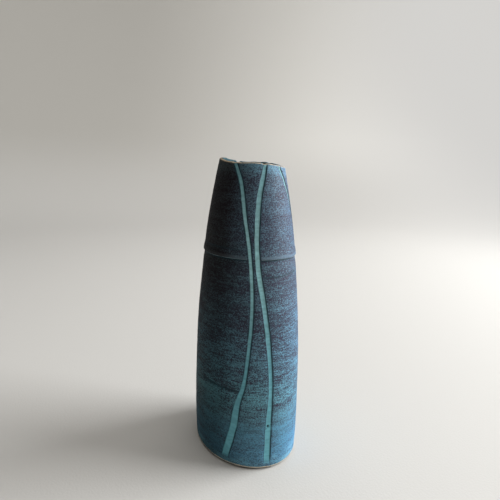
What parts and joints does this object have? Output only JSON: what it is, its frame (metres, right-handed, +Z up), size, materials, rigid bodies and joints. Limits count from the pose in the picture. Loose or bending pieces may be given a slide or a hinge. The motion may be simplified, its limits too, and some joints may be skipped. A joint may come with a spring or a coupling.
{
  "type": "ceramic bud vase",
  "caption": "Tall oval slab-built bud vase that tapers to a hand-cut rim, with a lapped seam and pale glaze lines in carved grooves; holds cut or dried stems.",
  "frame": {"origin": "middle of the foot, on the surface the vase stands on", "axes": "+Z up, +X along the long axis of the oval foot, +Y along its short axis"},
  "size_m": [0.088, 0.0693, 0.2032],
  "materials": {
    "mottled_glaze": "semi-gloss slate and turquoise glaze, finely mottled with horizontal brush bands",
    "line_glaze": "smooth pale jade glaze in carved grooves, darker where it pools along their edges",
    "inner_glaze": "semi-gloss dark teal liner glaze",
    "bare_clay": "matt unglazed stoneware"
  },
  "bodies": {
    "root": {"base_slab": "bare_clay", "lower_wall": "mottled_glaze", "upper_wall": "mottled_glaze", "foot_coil": "inner_glaze", "seam_coil": "inner_glaze", "lower_joint_strip": "inner_glaze", "upper_joint_strip": "inner_glaze", "left_glaze_line": "line_glaze", "right_glaze_line": "line_glaze", "side_glaze_line": "line_glaze", "side_rear_glaze_line": "line_glaze", "back_glaze_line": "line_glaze"}
  },
  "joints": []
}
